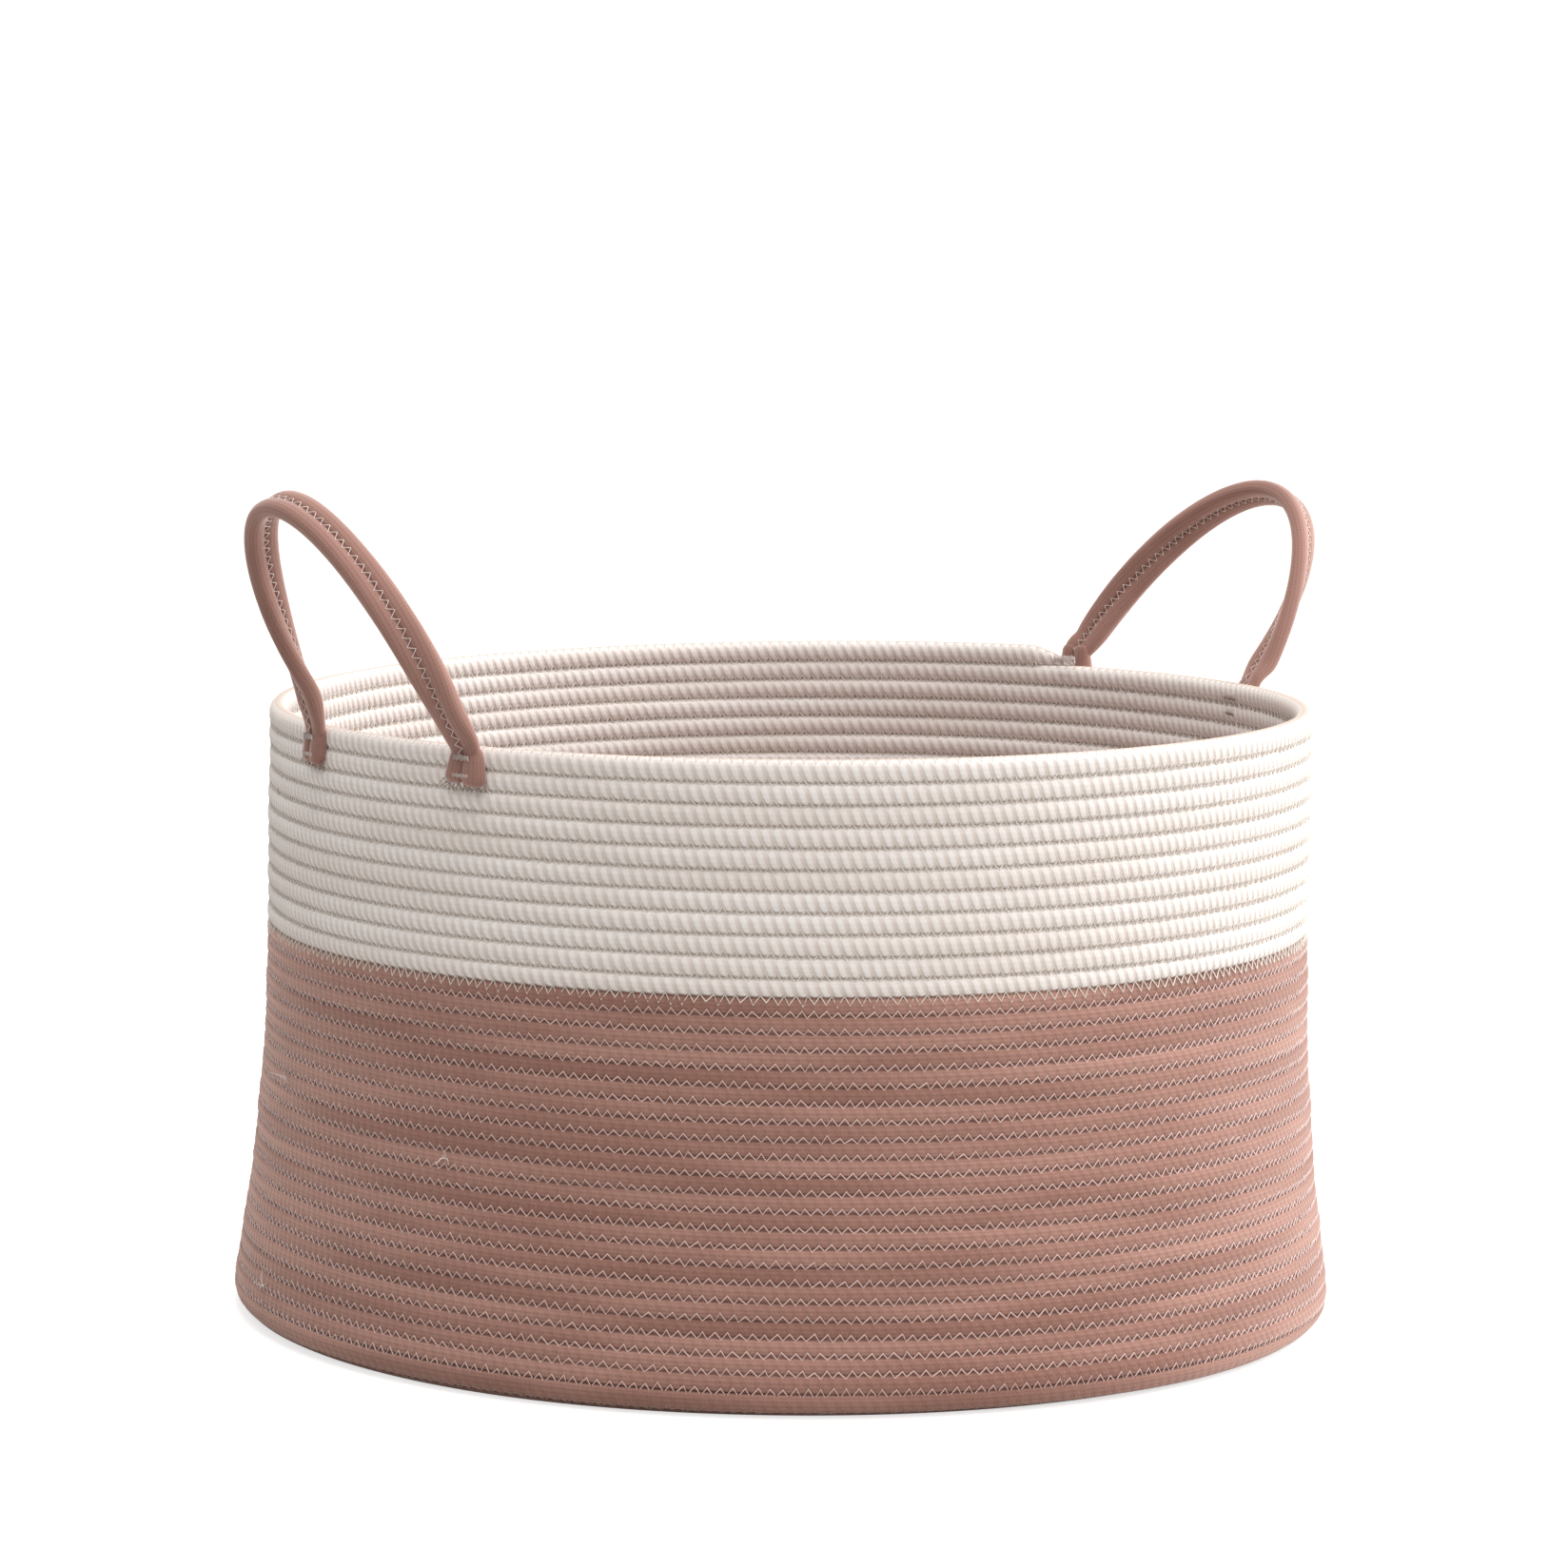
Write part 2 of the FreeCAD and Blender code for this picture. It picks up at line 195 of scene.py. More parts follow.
def joined(parts):
    """Several tubes as one mesh's points, faces and UVs."""
    points, faces, uvs = [], [], []
    start = 0
    for some_points, some_faces, some_uvs in parts:
        points.append(some_points)
        faces += [[corner + start for corner in face] for face in some_faces]
        uvs.append(some_uvs)
        start += len(some_points)
    return np.concatenate(points), faces, np.concatenate(uvs)


def make_piece(name, shape, material, replaced=()):
    """A Blender object from points, faces and UVs, which stands for the frame's plain solids."""
    points, faces, uvs = shape
    mesh = bpy.data.meshes.new(name)
    mesh.from_pydata(points.tolist(), [], faces)
    mesh.uv_layers.new(name="rope").data.foreach_set("uv", uvs.astype(np.float32).ravel())
    mesh.shade_smooth()
    mesh.materials.append(material)
    piece = bpy.data.objects.new(name, mesh)
    bpy.context.scene.collection.objects.link(piece)
    if replaced:
        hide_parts(*replaced)
    print(f"{name}: {len(faces)} faces")
    return piece


# %% [markdown]
# ## Materials from shared groups
# The rope's surface shows three things: the knitted sheath, the dents and slanted ribs where the zigzag
# thread pulls the rope in, and a soft mottled colour. Each is a node group, built once, and every rope
# material places them with its own numbers. The masks for the knit's gaps, the dents, the ribs and the
# groove also darken the colour, which is painted shade. A painted texture would need an image; these follow
# the UVs for any length.


# %% Helpers for node trees
def colour(code):
    """A hex colour as linear light."""
    parts = [int(code[i : i + 2], 16) / 255 for i in (0, 2, 4)]
    return tuple(p / 12.92 if p <= 0.04045 else ((p + 0.055) / 1.055) ** 2.4 for p in parts) + (1.0,)


class Tree:
    """Short words for adding nodes: a number or a socket can feed any input."""

    def __init__(self, tree):
        self.tree = tree

    def node(self, kind, **settings):
        made = self.tree.nodes.new(kind)
        for key, value in settings.items():
            setattr(made, key, value)
        return made

    def feed(self, socket, value):
        if isinstance(value, bpy.types.NodeSocket):
            self.tree.links.new(value, socket)
        else:
            socket.default_value = value

    def math(self, operation, *values):
        made = self.node("ShaderNodeMath", operation=operation)
        for socket, value in zip(made.inputs, values):
            self.feed(socket, value)
        return made.outputs[0]

    def between(self, value, low, high, smooth=True):
        made = self.node("ShaderNodeMapRange", interpolation_type="SMOOTHSTEP" if smooth else "LINEAR")
        for socket, number in zip(made.inputs, (value, low, high, 0.0, 1.0)):
            self.feed(socket, number)
        return made.outputs[0]

    def mix(self, share, first, second):
        made = self.node("ShaderNodeMix", data_type="RGBA")
        self.feed(made.inputs["Factor"], share)
        self.feed(made.inputs[6], first)
        self.feed(made.inputs[7], second)
        return made.outputs[2]

    def noise(self, vector, scale, detail=2.0):
        made = self.node("ShaderNodeTexNoise")
        self.feed(made.inputs["Vector"], vector)
        made.inputs["Scale"].default_value = scale
        made.inputs["Detail"].default_value = detail
        return made.outputs["Fac"]

    def group(self, group, **values):
        made = self.node("ShaderNodeGroup", node_tree=group)
        for name, value in values.items():
            self.feed(made.inputs[name], value)
        return made.outputs


def new_group(name, inputs, outputs):
    """A shader node group with named float inputs and outputs."""
    group = bpy.data.node_groups.new(name, "ShaderNodeTree")
    for label, start in inputs.items():
        group.interface.new_socket(label, in_out="INPUT", socket_type="NodeSocketFloat").default_value = start
    for label in outputs:
        group.interface.new_socket(label, in_out="OUTPUT", socket_type="NodeSocketFloat")
    tree = Tree(group)
    return group, tree, tree.node("NodeGroupInput").outputs, tree.node("NodeGroupOutput").inputs


# %% The knitted sheath
def knitted_sheath():
    """Columns of small V stitches round the rope: their height, and how deep a point lies between them, which
    the rope materials use for painted shade in the knit's gaps.
    """
    group, t, given, out = new_group(
        "Knitted sheath", {"Along": 0.0, "Around": 0.0, "Columns": 16.0, "Rows": 2.6}, ["Height", "Gap_shade"])
    place = t.math("MULTIPLY", given["Around"], given["Columns"])
    column = t.math("PINGPONG", place, 0.5)
    ridge = t.math("SINE", t.math("MULTIPLY", column, math.pi))
    row = t.math("ADD", t.math("MULTIPLY", given["Along"], given["Rows"]), t.math("MULTIPLY", column, 1.1))
    wave = t.math("MULTIPLY_ADD", t.math("SINE", t.math("MULTIPLY", row, 2 * math.pi)), 0.5, 0.5)
    height = t.math("MULTIPLY", ridge, t.math("MULTIPLY_ADD", wave, 0.6, 0.4))
    t.feed(out["Height"], height)
    t.feed(out["Gap_shade"], t.math("SUBTRACT", 1.0, t.between(height, 0.05, 0.5)))
    return group


SHEATH = knitted_sheath()


# %% The seam between two turns
RIB_LEAN = 3.0  # stitches by which a rib slants over one turn round the rope


def seam_marks():
    """Groove mask: painted shade, the dark line where two turns meet. Dent: where the zigzag thread pulls the
    rope in. Rib: the soft slanted ridges a tight zigzag leaves on a thick rope, stronger on the lower half of
    each turn. Dent and Rib shape the bump and also darken the colour as painted shade."""
    group, t, given, out = new_group(
        "Seam marks", {"Along": 0.0, "Around": 0.0, "Phase": 0.0, "Reach": 0.1, "Width": 0.035},
        ["Groove", "Dent", "Rib"])
    turn = t.math("MULTIPLY", given["Around"], 2 * math.pi)
    below = t.math("LESS_THAN", t.math("COSINE", turn), 0.0)
    swing = t.math("PINGPONG", given["Around"], 0.5)
    high_side = t.math("GREATER_THAN", swing, 0.25)
    edge = t.math("ADD", t.math("MULTIPLY", high_side, t.math("SUBTRACT", 0.5, swing)),
                  t.math("MULTIPLY", t.math("SUBTRACT", 1.0, high_side), swing))
    shift = t.math("MULTIPLY", t.math("SUBTRACT", 1.0, below), given["Phase"])
    zigzag = t.math("PINGPONG", t.math("ADD", given["Along"], shift), 0.5)
    tooth = t.math("SUBTRACT", 1.0, t.math("MULTIPLY", zigzag, 2.0))
    low_tooth = t.math("MULTIPLY", zigzag, 2.0)
    height = t.math("ADD", t.math("MULTIPLY", below, tooth),
                    t.math("MULTIPLY", t.math("SUBTRACT", 1.0, below), low_tooth))
    leg = t.math("MULTIPLY", t.math("SUBTRACT", t.math("MULTIPLY", height, 2.0), 1.0), given["Reach"])
    gap = t.math("ABSOLUTE", t.math("SUBTRACT", edge, leg))
    dent = t.math("SUBTRACT", 1.0, t.between(gap, 0.0, given["Width"]))
    groove = t.math("SUBTRACT", 1.0, t.between(edge, 0.02, 0.085))
    inside = t.math("GREATER_THAN", given["Around"], 0.5)
    lean = t.math("MULTIPLY_ADD", inside, -2 * RIB_LEAN, RIB_LEAN)
    slanted = t.math("MULTIPLY_ADD", swing, lean, given["Along"])
    wave = t.math("MULTIPLY_ADD", t.math("COSINE", t.math("MULTIPLY", slanted, 2 * math.pi)), 0.5, 0.5)
    # The ribs grow towards the lower half of each turn, where light from above leaves shade; in the colour
    # this is painted shade.
    low_half = t.math("MULTIPLY_ADD", t.between(swing, 0.10, 0.34), 0.7, 0.3)
    t.feed(out["Rib"], t.math("MULTIPLY", t.between(wave, 0.15, 1.0), low_half))
    t.feed(out["Dent"], dent)
    t.feed(out["Groove"], groove)
    return group


SEAM = seam_marks()


# %% Soft mottling
def cotton_mottle():
    """Slow colour change along each length of rope, so that turns differ, and fine fluff."""
    group, t, given, out = new_group(
        "Cotton mottle", {"Along": 0.0, "Slow": 0.021, "Fine": 900.0}, ["Patch", "Fluff"])
    streak = t.node("ShaderNodeTexNoise", noise_dimensions="1D")
    t.feed(streak.inputs["W"], given["Along"])
    t.feed(streak.inputs["Scale"], given["Slow"])
    streak.inputs["Detail"].default_value = 4.0
    t.feed(out["Patch"], streak.outputs["Fac"])
    fluff = t.node("ShaderNodeTexNoise")
    t.feed(fluff.inputs["Vector"], t.node("ShaderNodeTexCoord").outputs["Object"])
    t.feed(fluff.inputs["Scale"], given["Fine"])
    fluff.inputs["Detail"].default_value = 4.0
    t.feed(out["Fluff"], fluff.outputs["Fac"])
    return group


MOTTLE = cotton_mottle()

# %% [markdown]
# ## Rope materials
# Cotton has almost no gloss, so the colour and the bump do the work. The colour goes from a pale top to a
# darker gap in the knit and to a dark groove at the seam, and the rope is darker in the dents and ribs of the
# stitches: all of this darkening is painted shade. Sheen adds the faint light edge that short fibres give a
# soft surface. Subsurface light would be truer still, but it is slow and hardly shows at this size.

# %% Cotton rope
STITCHES = 297.37  # stitches in one turn of the wall
PHASE = STITCHES % 1


def cotton_rope(name, light, mid, dark, groove, knit, dent, seamed=1.0, knit_gap_shade=0.55, ribs=0.0,
                reach=0.075, width=0.05, fuzz=0.25, fuzz_tint="FFFFFF"):
    material = bpy.data.materials.new(name)
    material.use_nodes = True
    t = Tree(material.node_tree)
    shader = material.node_tree.nodes["Principled BSDF"]
    place = t.node("ShaderNodeUVMap", uv_map="rope").outputs["UV"]
    split = t.node("ShaderNodeSeparateXYZ")
    t.feed(split.inputs[0], place)
    along, around = split.outputs[0], split.outputs[1]
    sheath = t.group(SHEATH, Along=along, Around=around)
    seam = t.group(SEAM, Along=along, Around=around, Phase=PHASE, Reach=reach, Width=width)
    mottle = t.group(MOTTLE, Along=along)
    base = t.mix(t.between(mottle["Patch"], 0.3, 0.7), colour(mid), colour(light))
    # Darker gaps in the knit: painted shade.
    base = t.mix(t.math("MULTIPLY", sheath["Gap_shade"], knit_gap_shade), base, colour(dark))
    base = t.mix(t.math("MULTIPLY", t.between(mottle["Fluff"], 0.45, 0.75), 0.3), base, colour(light))
    # Darker dents and ribs at the stitches: painted shade.
    base = t.mix(t.math("MULTIPLY", seam["Dent"], 0.5 * seamed), base, colour(dark))
    base = t.mix(t.math("MULTIPLY", seam["Rib"], 0.5 * ribs), base, colour(dark))
    # The groove colour: painted shade where two turns meet.
    base = t.mix(t.math("MULTIPLY", seam["Groove"], seamed), base, colour(groove))
    t.feed(shader.inputs["Base Color"], base)
    height = t.math("MULTIPLY", sheath["Height"], knit)
    height = t.math("MULTIPLY_ADD", seam["Dent"], -dent * seamed, height)
    height = t.math("MULTIPLY_ADD", seam["Rib"], -0.42 * ribs, height)
    height = t.math("MULTIPLY_ADD", mottle["Fluff"], knit * 0.5, height)
    bump = t.node("ShaderNodeBump")
    bump.inputs["Distance"].default_value = 0.001
    t.feed(bump.inputs["Height"], height)
    t.feed(shader.inputs["Normal"], bump.outputs["Normal"])
    shader.inputs["Roughness"].default_value = 0.92
    shader.inputs["Specular IOR Level"].default_value = 0.2
    shader.inputs["Sheen Weight"].default_value = fuzz
    shader.inputs["Sheen Tint"].default_value = colour(fuzz_tint)
    shader.inputs["Sheen Roughness"].default_value = 0.45
    return material


rose_cotton = cotton_rope("rose cotton rope", "B48B7E", "976F63", "6E4A40", "3C211A", 0.12, 0.5,
                          knit_gap_shade=0.32, ribs=0.4, fuzz=0.7, fuzz_tint="FFE0D6")
cream_cotton = cotton_rope("cream cotton rope", "F3EEEB", "ECE5E0", "BFAC9D", "CDBDB0", 0.03, 0.3,
                           reach=0.12, width=0.085, knit_gap_shade=0.12, ribs=1.0, fuzz=0.1)
# The strap's colours are set darker than the rose wall rope's, to carry the shade on the handles: painted
# shade.
shaded_strap_cotton = cotton_rope("strap cotton rope with painted shade", "A07A6F", "7F5D53", "6B483F", "6B483F", 0.08, 0.0,
                           seamed=0.0, knit_gap_shade=0.3, fuzz=1.0, fuzz_tint="FFE4DC")


# %% Thread
def spun_thread(name, light, dark):
    """Twisted sewing thread: fine slanted plies along each stitch, darker between the plies as painted shade.
    """
    material = bpy.data.materials.new(name)
    material.use_nodes = True
    t = Tree(material.node_tree)
    shader = material.node_tree.nodes["Principled BSDF"]
    place = t.node("ShaderNodeUVMap", uv_map="rope").outputs["UV"]
    split = t.node("ShaderNodeSeparateXYZ")
    t.feed(split.inputs[0], place)
    slant = t.math("ADD", t.math("MULTIPLY", split.outputs[0], 14.0), split.outputs[1])
    ply = t.math("MULTIPLY_ADD", t.math("SINE", t.math("MULTIPLY", slant, 2 * math.pi)), 0.5, 0.5)
    mottle = t.group(MOTTLE, Along=split.outputs[0])
    # The darker colour between the plies is painted shade; the slow patches are the thread's own uneven tone.
    tone_and_ply_shade = t.math("MULTIPLY_ADD", mottle["Patch"], 0.5, t.math("MULTIPLY", ply, 0.5))
    t.feed(shader.inputs["Base Color"], t.mix(tone_and_ply_shade, colour(dark), colour(light)))
    bump = t.node("ShaderNodeBump")
    bump.inputs["Distance"].default_value = 0.00002
    t.feed(bump.inputs["Height"], ply)
    t.feed(shader.inputs["Normal"], bump.outputs["Normal"])
    shader.inputs["Roughness"].default_value = 0.8
    shader.inputs["Sheen Weight"].default_value = 0.3
    return material


rose_thread = spun_thread("rose thread", "E6CCC6", "CBA8A0")
cream_thread = spun_thread("cream thread", "F2ECE3", "DDD3C6")
tack_thread = spun_thread("tack thread", "F3E6E0", "DCCBC5")

# %% [markdown]
# ## The floor and the wall
# The floor is a flat spiral. Its last turn lifts into the corner and goes on as the wall, so the two ropes
# below share one path. A ring about every six millimetres keeps the curve smooth without wasting faces.

# %% How a rope lies in the wall
RING_STEP = 0.006  # between two rings of the floor
RINGS_PER_TURN = 262  # of the wall
ROPE_SIDES = 14
FLAT_CHEEKS = 2.4
PRESSED = 1.12  # how far each rope is pressed into the next, which keeps the grooves shallow


def slow_wobble(turns, seed, size):
    """A smooth uneven line along the rope, the same in every run."""
    line = 0
    for k, (rate, share) in enumerate([(2.13, 1.0), (3.71, 0.7), (7.39, 0.45)]):
        line = line + share * np.sin(2 * math.pi * rate * turns + seed * (k + 1))
    return size * line


WOBBLE = 0.00022  # how unevenly a rope lies in or out of the wall


def lie(turns):
    """How far a rope stands out of the even wall. The floor is pressed flat, so it has none."""
    return slow_wobble(turns, 1.7, WOBBLE) * np.clip(turns, 0, 1)


def rope_along(turns, climb, high, thick, stitches):
    point, across, out = wall_place(climb, spiral_angle(turns))
    point = point + out * lie(turns)[:, None]
    return tube(point, across, out, high, thick, ROPE_SIDES, stitches, FLAT_CHEEKS)


FLOOR_STITCH = 0.0054  # length of one stitch on the floor


def floor_turns():
    """Turns of the floor from its curled-up start, spaced evenly along the rope."""
    length = np.arange(0.018, math.pi * FLOOR_SPAN**2 / ROPE, RING_STEP)
    return np.concatenate([np.linspace(0.1, 0.8, 12), np.sqrt(length / (math.pi * ROPE))])


turns = floor_turns()
floor_shape = rope_along(turns - FLOOR_TURNS, turns * ROPE, ROPE / 2 * PRESSED, ROPE / 2 * 0.97,
                         math.pi * ROPE * turns**2 / FLOOR_STITCH)
floor_rope = make_piece("floor_rope", floor_shape, rose_cotton, ["rose_floor_coil"])
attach(floor_rope, "basket")

turns = np.linspace(0, ROSE_TURNS, ROSE_TURNS * RINGS_PER_TURN + 1)
on_corner = np.clip(1 - np.abs(turns - 1.2) / 1.8, 0, 1)  # the grooves open where the wall turns up
rose_height = ROSE_HALF * (PRESSED + 0.3 * on_corner)
rose_shape = rope_along(turns, rose_climb(turns), rose_height, ROPE / 2, turns * STITCHES)
rose_rope = make_piece("rose_wall_rope", rose_shape, rose_cotton, ["rose_wall_coil"])
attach(rose_rope, "basket")

# %% The cream rope and its tapered end
turns = np.linspace(0, CREAM_TURNS, CREAM_TURNS * RINGS_PER_TURN + 1)
TAPER = 0.015  # turns over which the cut end slims down
slim = np.clip((CREAM_TURNS - turns) / TAPER, 0.12, 1) ** 0.7
cream_height = cream_half(turns) * PRESSED * slim
cream_line = cream_climb(turns) - cream_half(turns) * (1 - slim)
cream_shape = rope_along(turns, cream_line, cream_height, (ROPE / 2 + 0.0004) * slim, turns * STITCHES)
cream_rope = make_piece("cream_wall_rope", cream_shape, cream_cotton, ["cream_wall_coil"])
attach(cream_rope, "basket")

# %% [markdown]
# ## Zigzag seams
# A machine sews each turn to the last: the thread swings up into one rope and down into the other, on both
# faces of the wall. Two rings per stitch, one at each needle hole, are enough for a crisp zigzag. Each seam
# is its own piece, inside and outside, so that no mesh grows too heavy.

# %% Thread along a groove
THREAD = 0.00032
LEG_WIDTH = 0.00044


def cheek(distance, high, thick):
    """How far a rope's cheek stands out at a distance from the seam."""
    share = np.clip((high - np.abs(distance)) / (high * PRESSED), 0, 1)
    return thick * (1 - share**FLAT_CHEEKS) ** (1 / FLAT_CHEEKS)


def zigzag_seam(first, last, groove, high, thick, up, down, side, seed, low_sink=1.1):
    """Thread in the groove under each turn of a rope from turn first to turn last."""
    count = np.arange(math.ceil(first * STITCHES * 2), int(last * STITCHES * 2))
    turns = count / (2 * STITCHES)
    chance = np.random.default_rng(seed)
    uneven = 1 + 0.14 * chance.standard_normal(len(count))
    swing = np.where(count % 2 == 0, up, -down) * uneven
    angle = spiral_angle(turns + 0.06 / STITCHES * chance.standard_normal(len(count)))
    point, across, out = wall_place(groove(turns) + swing, angle)
    sunk = cheek(swing, high, thick) - THREAD * np.where(swing > 0, 0.1, low_sink)
    point = point + out * (side * sunk + lie(np.where(swing > 0, turns, turns - 1)))[:, None]
    return tube(point, across, out * side, LEG_WIDTH, THREAD, 6, turns * STITCHES)


def rose_groove(turns):
    return rose_climb(turns) - ROSE_HALF


def cream_groove(turns):
    return cream_climb(turns) - cream_half(turns)


for face, side in (("outer", 1), ("inner", -1)):
    shape = zigzag_seam(0.4, ROSE_TURNS, rose_groove, ROSE_HALF, ROPE / 2, 0.0020, 0.0012, side, 11)
    seam = make_piece(f"rose_{face}_seam", shape, rose_thread, ["rose_stitching"])
    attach(seam, "basket")
    first = zigzag_seam(0, 1, cream_groove, ROSE_HALF, ROPE / 2, 0.0008, 0.0034, side, 12, low_sink=0.2)
    rest = zigzag_seam(1, CREAM_TURNS - 0.01, cream_groove, CREAM_HALF, ROPE / 2, 0.0024, 0.0024, side, 13)
    shape = joined([first, rest])
    seam = make_piece(f"cream_{face}_seam", shape, cream_thread, ["cream_stitching"])
    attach(seam, "basket")


# %% The floor's seam
def floor_seam(side, seed):
    count = np.arange(20, int(math.pi * FLOOR_SPAN**2 / ROPE / FLOOR_STITCH) * 2)
    turns = np.sqrt(count * FLOOR_STITCH / 2 / (math.pi * ROPE))
    uneven = 1 + 0.12 * np.random.default_rng(seed).standard_normal(len(count))
    swing = np.where(count % 2 == 0, 0.0019, -0.0019) * uneven
    point, across, out = wall_place(turns * ROPE - ROPE / 2 + swing, spiral_angle(turns - FLOOR_TURNS))
    sunk = cheek(swing, ROPE / 2, ROPE / 2 * 0.97) - THREAD * 0.4
    point = point + out * (side * sunk)[:, None]
    return tube(point, across, out * side, LEG_WIDTH * 0.85, THREAD * 0.8, 5, count / 2)


for face, side in (("under", 1), ("top", -1)):
    shape = floor_seam(side, 14)
    seam = make_piece(f"floor_{face}_seam", shape, rose_thread, ["floor_stitching"])
    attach(seam, "basket")

# %% [markdown]
# ## The strap handles
# Each handle is one strap: two ropes side by side with a zigzag between them. It stands on two feet sewn to
# the wall, leans outwards and turns a quarter turn on its way to the top, so that the strap lies flat in the
# hand. The frame holds the fold of each handle as a hinge. The strap is soft, so its ends blend across the
# hinge instead of turning with a hard edge.

# %% Sizes of the handles
STRAP = 0.008
STRAP_GAP = 0.0002
KNIT_ROW = 0.0046  # length of strap rope to one unit of its UV map
STRAP_STITCH = 0.0050
HANDLES = {
    "left": dict(side=-1, spacing=0.112, shift=-0.0055, rise=0.095, lean=0.038, drift=0.025, twist=2.0),
    "right": dict(side=1, spacing=0.131, shift=-0.007, rise=0.085, lean=0.050, drift=-0.018, twist=1.2),
}
for joint in frame["joints"]:
    HANDLES[joint["child"].split("_")[0]]["hinge"] = (joint["pos_m"][0], joint["pos_m"][2])


# %% The line of a strap
def loop_line(handle, angle):
    """Points of the loop from front foot (0) to back foot (pi), with directions across it and out of it."""
    side, lean, rise = handle["side"], handle["lean"], handle["rise"]
    half, drift = handle["spacing"] / 2, handle["drift"]
    hinge_x, hinge_z = handle["hinge"]
    up, along = np.sin(angle), np.cos(angle)
    point = np.stack([hinge_x + side * lean * up, handle["shift"] - half * along + drift * up,
                      hinge_z + rise * up], axis=-1)
    ahead = unit(np.stack([side * lean * along, half * up + drift * along, rise * along], axis=-1))
    outward = unit(np.array([side * rise, 0.0, -lean]))
    away = side * np.cross(outward, ahead)
    twist = math.pi / 2 * (1 - np.clip(up, 0, 1)) ** handle["twist"]
    face = away * np.cos(twist)[:, None] + outward * np.sin(twist)[:, None]
    face = unit(face - ahead * np.sum(face * ahead, axis=-1, keepdims=True))
    across = -side * np.cross(ahead, face)
    return point, across, face


def foot_place(handle, end, below_rim, out):
    """A point over the wall's outer face at a handle's foot, with the directions up and out there."""
    y = handle["shift"] + end * handle["spacing"] / 2
    angle = math.asin(y / MOUTH_Y)
    angle = angle if handle["side"] > 0 else math.pi - angle
    turn = ((STEP_ANGLE - angle) / (2 * math.pi)) % 1
    rim_climb = float(cream_climb(np.array(CREAM_TURNS - 1 + turn))) + CREAM_HALF
    below = np.atleast_1d(np.asarray(below_rim, float))
    point, up, outside = wall_place(rim_climb - below, np.full(len(below), angle))
    return point + outside * (ROPE / 2 + np.broadcast_to(out, len(below)))[:, None], up, outside


def strap_line(handle, count=150):
    """The strap from inside its front foot, through the loop, to inside its back foot."""
    low, low_up, low_out = foot_place(handle, -1, [0.004, 0.0005], 0.0018)
    high, high_up, high_out = foot_place(handle, 1, [0.0005, 0.004], 0.0018)
    angle = np.linspace(0.05, math.pi - 0.05, 90)
    loop, loop_across, loop_face = loop_line(handle, angle)
    line = np.concatenate([low, loop, high])
    sideways = -np.cross(low_up, low_out) * handle["side"], np.cross(high_up, high_out) * handle["side"]
    across = np.concatenate([sideways[0], loop_across, sideways[1]])
    face = np.concatenate([low_out, loop_face, high_out])
    length = np.concatenate([[0], np.cumsum(np.linalg.norm(np.diff(line, axis=0), axis=1))])
    even = np.linspace(0, length[-1], count)
    line, across, face = (np.stack([np.interp(even, length, column) for column in array.T], axis=-1)
                          for array in (line, across, face))
    for _ in range(6):
        for array in (line, across, face):
            array[1:-1] = (array[:-2] + 2 * array[1:-1] + array[2:]) / 4
    ahead = unit(np.gradient(line, axis=0))
    face = unit(face - ahead * np.sum(face * ahead, axis=-1, keepdims=True))
    turned = unit(np.cross(ahead, face))
    across = turned * np.sign(np.sum(turned * across, axis=-1, keepdims=True))
    return line, across, face, even


# %% Strap ropes and their seam
def strap_size(even):
    """Half width of a strap rope: pinched where it leaves a foot."""
    from_end = np.minimum(even, even[-1] - even)
    return STRAP / 2 * (0.9 + 0.1 * np.clip((from_end - 0.003) / 0.012, 0, 1))


def strap_rope(handle, inner):
    line, across, face, even = strap_line(handle)
    size = strap_size(even)
    line = line + across * (inner * (size + STRAP_GAP / 2))[:, None]
    thick = size * (0.7 + 0.3 * np.clip((np.minimum(even, even[-1] - even) - 0.003) / 0.015, 0, 1))
    return tube(line, across, face, size * 1.15, thick, 20, even / KNIT_ROW, 2.5)


def strap_seam(handle, side, seed):
    line, across, face, even = strap_line(handle, 2 * int(0.30 / STRAP_STITCH))
    size = strap_size(even)
    swing = np.where(np.arange(len(even)) % 2 == 0, 0.0018, -0.0018)
    swing = swing * (1 + 0.12 * np.random.default_rng(seed).standard_normal(len(even)))
    sunk = size * 0.87
    line = line + across * swing[:, None] + face * (side * sunk)[:, None]
    return tube(line, across, face * side, LEG_WIDTH * 0.62, THREAD * 0.7, 6, even / STRAP_STITCH)


# %% Two straps
for name, handle in HANDLES.items():
    pieces = []
    for inner, label in ((1, "inner"), (-1, "outer")):
        shape = strap_rope(handle, inner)
        pieces.append(make_piece(f"{name}_{label}_strap_rope", shape, shaded_strap_cotton,
                                 [f"{name}_handle_{label}_rope"]))
    shape = joined([strap_seam(handle, 1, 21), strap_seam(handle, -1, 22)])
    pieces.append(make_piece(f"{name}_strap_seam", shape, tack_thread,
                             [f"{name}_handle_stitching"]))
    for piece in pieces:
        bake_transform(piece)

# %% [markdown]
# ## The sewn feet
# Below the hinge each strap rope is pressed flat, flares out and is cut off, and its fibres fray. Two bar
# tacks hold it, and the same thread shows inside the wall. Each lobe is a short tube that widens; the frayed
# fibres are thin curved tubes from a seeded random start, so every run gives the same fluff.


